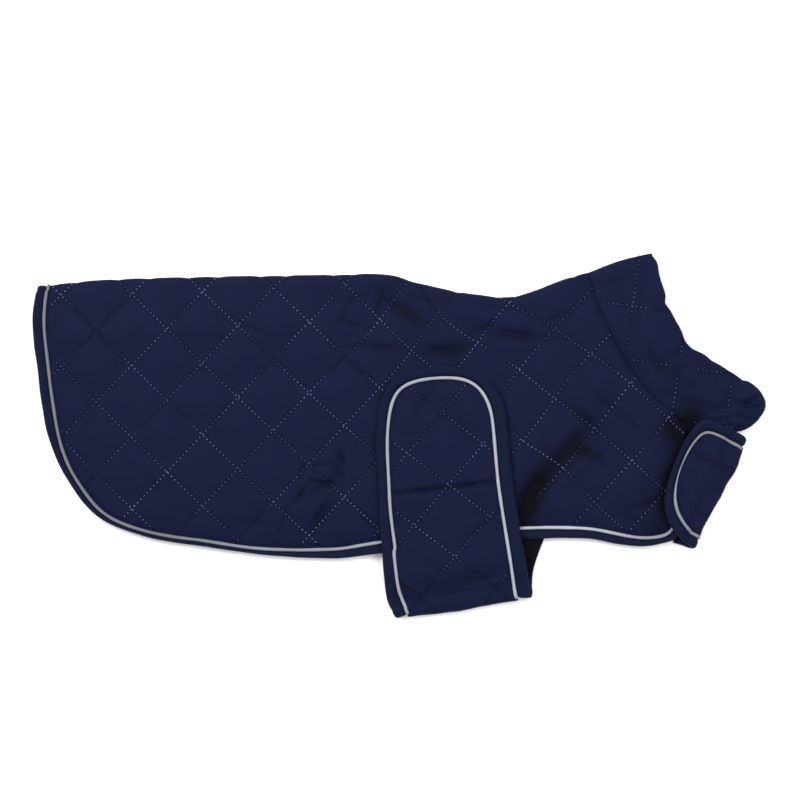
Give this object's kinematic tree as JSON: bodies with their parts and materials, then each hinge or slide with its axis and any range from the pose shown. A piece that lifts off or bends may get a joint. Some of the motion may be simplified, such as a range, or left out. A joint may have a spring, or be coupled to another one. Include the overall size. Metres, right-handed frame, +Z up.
{
  "type": "dog winter coat",
  "caption": "Quilted dog winter coat, folded along the back and laid on its side, with a high collar, a broad belly strap and a short chest strap, bound and piped at the edges.",
  "frame": {"origin": "centre of the bounding box, at the height of the surface that the coat lies on", "axes": "+X from tail to neck along the coat, +Y from the hem to the folded back, +Z up from the surface"},
  "size_m": [0.5502, 0.273, 0.0169],
  "materials": {
    "quilted_cloth": "navy woven polyester with a soft sheen, diamond quilted",
    "binding": "navy woven binding tape, matt",
    "reflective_piping": "light grey reflective piping, fine grained"
  },
  "bodies": {
    "root": {"back_panel": "quilted_cloth", "collar": "quilted_cloth", "hem_binding": "binding", "hem_piping": "reflective_piping", "belly_strap": "quilted_cloth", "belly_strap_binding": "binding", "belly_strap_piping": "reflective_piping", "chest_strap": "quilted_cloth", "chest_strap_binding": "binding", "chest_strap_piping": "reflective_piping"}
  },
  "joints": []
}
